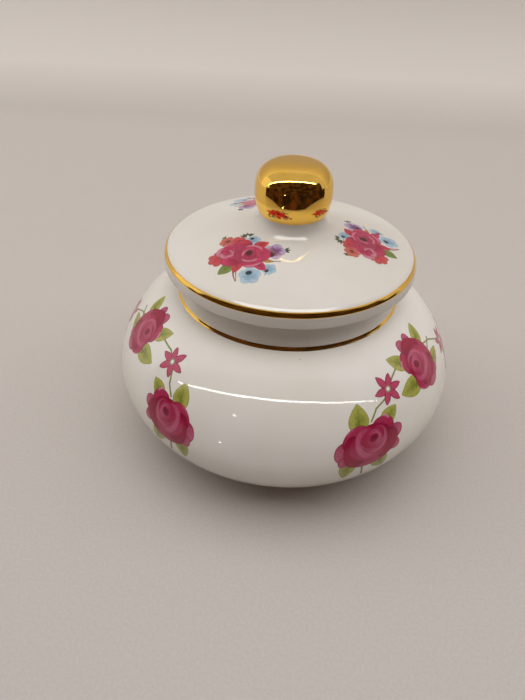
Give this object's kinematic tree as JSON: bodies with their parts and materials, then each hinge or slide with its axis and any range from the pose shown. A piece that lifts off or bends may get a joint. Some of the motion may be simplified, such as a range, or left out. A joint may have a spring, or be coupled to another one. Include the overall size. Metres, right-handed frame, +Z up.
{
  "type": "powder jar",
  "caption": "Squat round porcelain powder jar with a lift-off domed lid, gilded round knob, gold lines and painted rose garlands.",
  "frame": {"origin": "centre of the jar's foot, on the table", "axes": "+Z up along the jar's axis, -Y towards the viewer, +X to the viewer's right"},
  "size_m": [0.1042, 0.104, 0.0827],
  "materials": {
    "porcelain": "glossy clear glaze over white porcelain",
    "gold": "bright fired gold lustre",
    "garland_transfer": "fired-on enamel transfer, glossy",
    "bouquet_transfer": "fired-on enamel transfer, glossy"
  },
  "bodies": {
    "jar": {"jar_body": "porcelain", "neck_gold_line": "gold", "left_rose_garland": "garland_transfer", "right_rose_garland": "garland_transfer", "back_rose_garland": "garland_transfer"},
    "cover": {"lid": "porcelain", "lid_gold_line": "gold", "knob": "porcelain", "knob_gilding": "gold", "left_lid_bouquet": "bouquet_transfer", "right_lid_bouquet": "bouquet_transfer", "back_lid_bouquet": "bouquet_transfer"}
  },
  "joints": [
    {"name": "lid_lift", "type": "slide", "parent": "jar", "child": "cover", "axis": [0, 0, 1], "range_m": [0, 0.06]}
  ]
}
